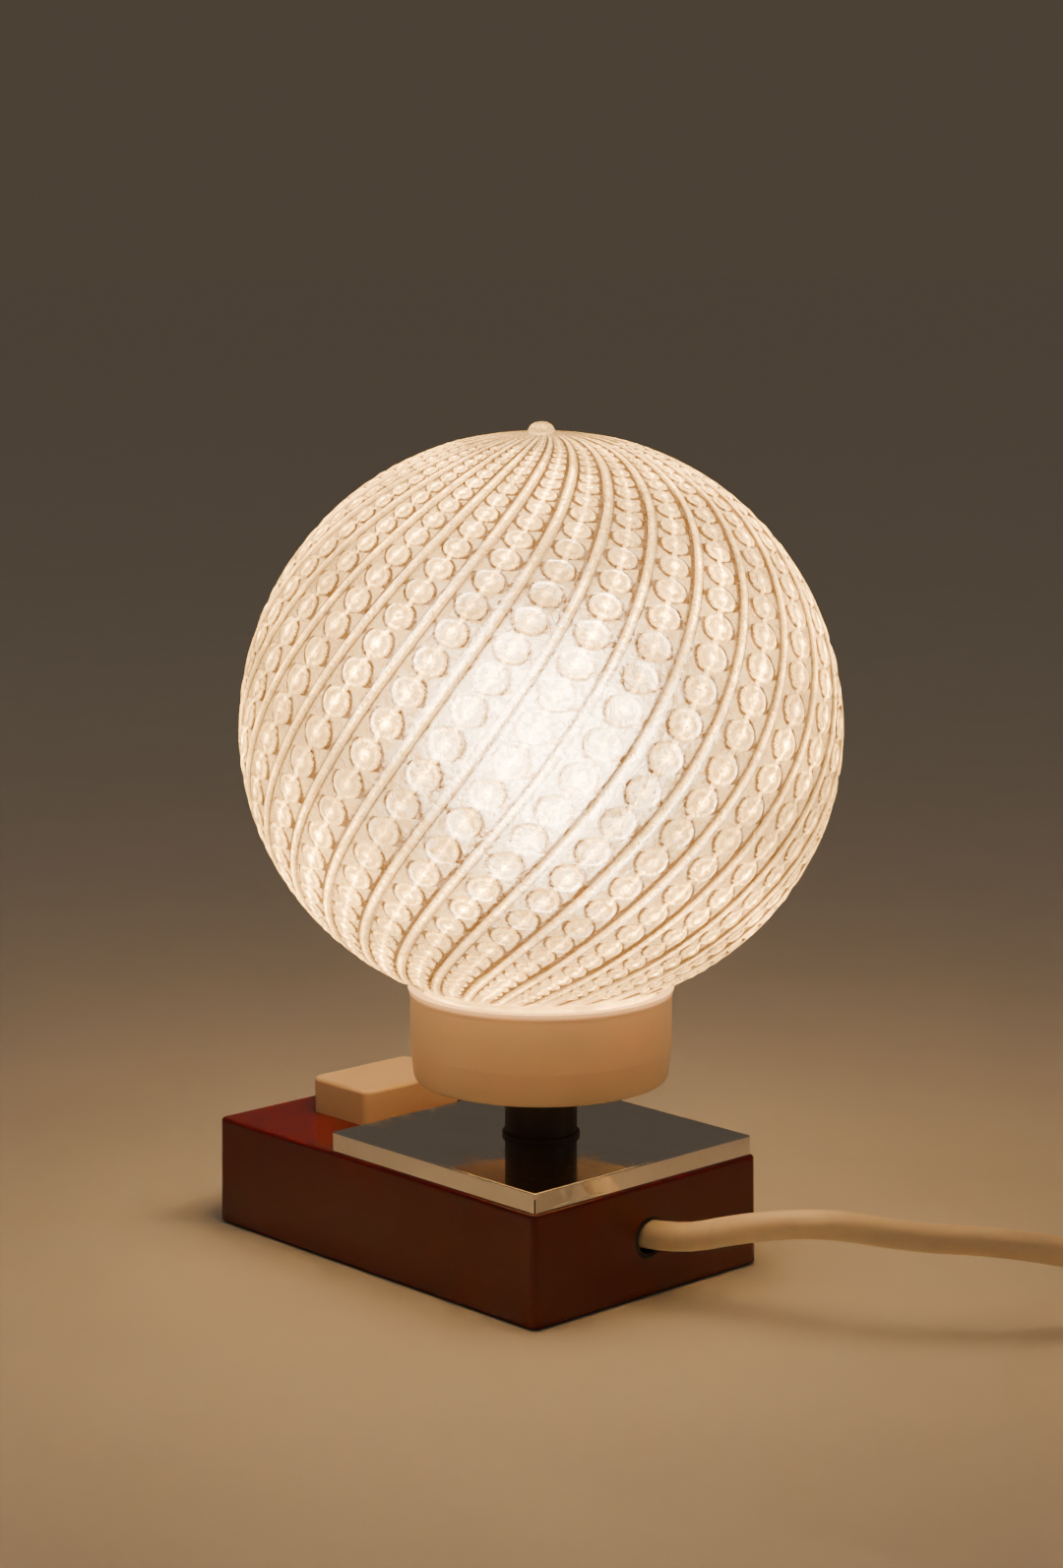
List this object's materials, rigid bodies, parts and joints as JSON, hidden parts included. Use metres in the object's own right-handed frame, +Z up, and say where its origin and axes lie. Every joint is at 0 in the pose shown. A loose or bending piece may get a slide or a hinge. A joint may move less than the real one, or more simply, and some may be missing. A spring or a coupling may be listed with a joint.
{
  "type": "night light",
  "caption": "Small table lamp with a swirl-pressed clear glass globe in a cream cup, on a short stem over a chromed plate and a dark red box base with a push button and a coiled mains cord.",
  "frame": {"origin": "on the table, under the axis of the stem, bulb and globe", "axes": "+Z up, +X towards the end face that the cord leaves, the push button at the -X end"},
  "size_m": [0.3519, 0.1833, 0.2135],
  "materials": {
    "red_plastic": "polished moulding",
    "cream_plastic": "satin, slightly translucent",
    "cap_chrome": "mirror",
    "stem_paint": "dark brown gloss",
    "globe_glass": "pressed swirl relief",
    "bulb_envelope": "pearl",
    "vitrite": "black",
    "zinc_steel": "zinc plated",
    "spring_steel": "bright spring steel",
    "filament_wire": "drawn wire",
    "brass": "plain",
    "cap_aluminium": "plain",
    "felt": "dark green felt",
    "gasket_rubber": "black",
    "holder_plastic": "white thermoset",
    "switch_plastic": "dark thermoset",
    "sleeve_plastic": "clear shrink sleeve",
    "clamp_plastic": "natural nylon",
    "cord_cream": "soft flexible vinyl",
    "tie_plastic": "natural nylon",
    "lead_blue": "vinyl",
    "lead_brown": "vinyl"
  },
  "bodies": {
    "base": {"base_housing": "red_plastic", "base_plate": "zinc_steel", "base_plate_screws": "zinc_steel", "felt_pad": "felt", "cap_plate": "cap_chrome", "stem_ring": "stem_paint", "stem_sleeve": "stem_paint", "threaded_tube": "zinc_steel", "tube_lower_washer": "zinc_steel", "tube_lower_nut": "zinc_steel", "tube_upper_washer": "zinc_steel", "tube_upper_nut": "zinc_steel", "collar": "cream_plastic", "neck_wave_spring": "spring_steel", "neck_gasket": "gasket_rubber", "lampholder_cup": "holder_plastic", "lampholder_skirt": "holder_plastic", "lampholder_insert": "holder_plastic", "lampholder_terminals": "brass", "lampholder_terminal_screws": "brass", "lampholder_thread_shell": "brass", "lampholder_contact": "brass", "switch_spring": "spring_steel", "switch_body": "switch_plastic", "switch_blades": "brass", "switch_blade_sleeves": "sleeve_plastic", "switch_screws": "zinc_steel", "neutral_lead": "lead_blue", "live_lead": "lead_brown", "switched_lead": "lead_brown", "cord_bushing": "cord_cream", "cord_clamp": "clamp_plastic", "cord_clamp_screws": "zinc_steel", "supply_cord": "cord_cream", "supply_cord_coil": "cord_cream", "supply_cord_tail": "cord_cream", "cord_tie": "tie_plastic", "plug_boot": "cord_cream", "plug_body": "cord_cream", "plug_pins": "brass"},
    "globe": {"glass_globe": "globe_glass"},
    "bulb": {"bulb_contact": "brass", "bulb_insulator": "vitrite", "bulb_cap": "cap_aluminium", "bulb_glass": "bulb_envelope", "bulb_stem": "bulb_envelope", "bulb_supports": "filament_wire", "bulb_filament": "filament_wire"},
    "button": {"switch_button": "cream_plastic"},
    "plunger": {"switch_plunger": "switch_plastic"},
    "rotor": {"switch_rotor": "switch_plastic"}
  },
  "joints": [
    {"name": "globe_lift", "type": "slide", "parent": "base", "child": "globe", "axis": [0, 0, 1], "range_m": [0, 0.12]},
    {"name": "bulb_turn", "type": "hinge", "parent": "base", "child": "bulb", "pos_m": [0, 0, 0.09], "axis": [0, 0, 1], "range_deg": [0, 1440]},
    {"name": "button_press", "type": "slide", "parent": "base", "child": "button", "axis": [0, 0, -1], "range_m": [0, 0.003], "stiffness_N_per_m": 600, "springref_m": -0.002, "deforming": ["switch_spring"]},
    {"name": "plunger_press", "type": "slide", "parent": "base", "child": "plunger", "axis": [0, 0, -1], "range_m": [0, 0.003]},
    {"name": "rotor_turn", "type": "hinge", "parent": "base", "child": "rotor", "pos_m": [-0.05998, 0, 0.006], "axis": [0, 0, 1], "range_deg": [0, 45]}
  ],
  "couplings": [
    {"joint": "plunger_press", "follows": "button_press", "ratio": 1},
    {"joint": "rotor_turn", "follows": "button_press", "rad_per_m": 261.79}
  ]
}
